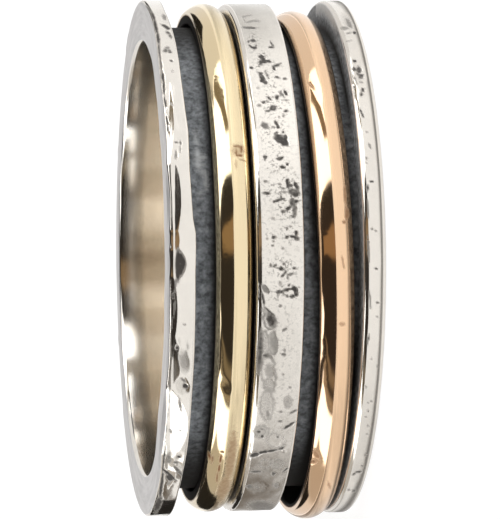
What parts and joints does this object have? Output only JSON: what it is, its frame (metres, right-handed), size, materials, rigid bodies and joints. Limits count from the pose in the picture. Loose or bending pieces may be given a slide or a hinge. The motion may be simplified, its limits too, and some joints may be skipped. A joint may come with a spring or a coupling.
{
  "type": "spinner ring",
  "caption": "Wide finger ring: a sleeve with soldered end rims, and a yellow gold, a silver and a rose gold band that spin in the dark channel between them.",
  "frame": {"origin": "on the finger axis, in the plane of the lower rim's end face, which is the surface that the ring rests on", "axes": "+Z along the finger axis from the narrow lower rim to the wide upper rim; -X is the side to which the loose rose gold band hangs"},
  "size_m": [0.022, 0.0218, 0.0086],
  "materials": {
    "base_silver": "hammered sterling silver, polished rims and bore, satin end faces, blackened channel",
    "yellow_gold": "polished yellow gold, half-round",
    "spinner_silver": "hammered and pitted sterling silver, dark oxide in the pits",
    "rose_gold": "polished rose gold, half-round"
  },
  "bodies": {
    "base": {"base_band": "base_silver"},
    "yellow_gold_band": {"yellow_gold_spinner": "yellow_gold"},
    "silver_band": {"silver_spinner": "spinner_silver"},
    "rose_gold_band": {"rose_gold_spinner": "rose_gold"}
  },
  "joints": [
    {"name": "yellow_gold_spin", "type": "hinge", "parent": "base", "child": "yellow_gold_band", "pos_m": [0, 0, 0.00587], "axis": [0, 0, 1], "continuous": true},
    {"name": "silver_spin", "type": "hinge", "parent": "base", "child": "silver_band", "pos_m": [0, 0, 0.00413], "axis": [0, 0, 1], "continuous": true},
    {"name": "rose_gold_spin", "type": "hinge", "parent": "base", "child": "rose_gold_band", "pos_m": [-0.00034, 0, 0.00189], "axis": [-0.0192, 0, 0.9998], "continuous": true}
  ]
}
